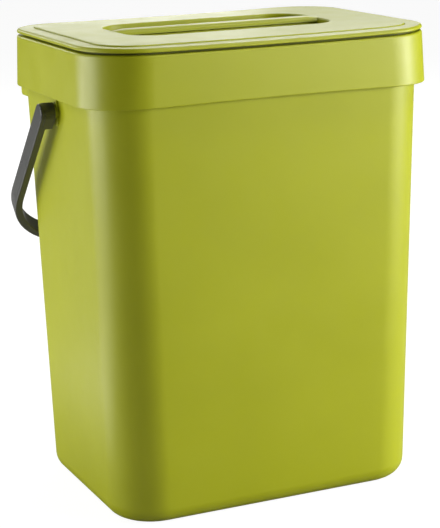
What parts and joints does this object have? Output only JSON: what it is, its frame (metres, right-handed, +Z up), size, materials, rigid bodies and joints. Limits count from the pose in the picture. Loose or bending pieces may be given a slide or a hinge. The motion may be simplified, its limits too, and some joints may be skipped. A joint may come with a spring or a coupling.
{
  "type": "small trash can",
  "caption": "Small rectangular kitchen trash can with a bag ring, a lift-off lid with a recessed grip bar and a swinging strap handle.",
  "frame": {"origin": "on the floor, under the middle of the tub", "axes": "+X along the long side to the right, +Y from the front to the back, +Z up"},
  "size_m": [0.2188, 0.1728, 0.27],
  "materials": {
    "lime_plastic": "satin",
    "grey_plastic": "satin",
    "seal_rubber": "matt",
    "pin_plastic": "satin"
  },
  "bodies": {
    "tub": {"tub": "lime_plastic"},
    "ring": {"bag_ring": "lime_plastic"},
    "lid": {"lid_frame": "lime_plastic", "lid_panel": "lime_plastic", "lid_seal": "seal_rubber"},
    "handle": {"handle": "grey_plastic", "pivot_pin_left": "pin_plastic", "pivot_pin_right": "pin_plastic", "pin_washer_left": "pin_plastic", "pin_washer_right": "pin_plastic"}
  },
  "joints": [
    {"name": "handle_swing", "type": "hinge", "parent": "tub", "child": "handle", "pos_m": [0, 0, 0.227], "axis": [1, 0, 0], "range_deg": [-5, 276]},
    {"name": "ring_lift", "type": "slide", "parent": "tub", "child": "ring", "axis": [0, 0, 1], "range_m": [0, 0.05]},
    {"name": "lid_lift", "type": "slide", "parent": "ring", "child": "lid", "axis": [0, 0, 1], "range_m": [0, 0.05]}
  ]
}
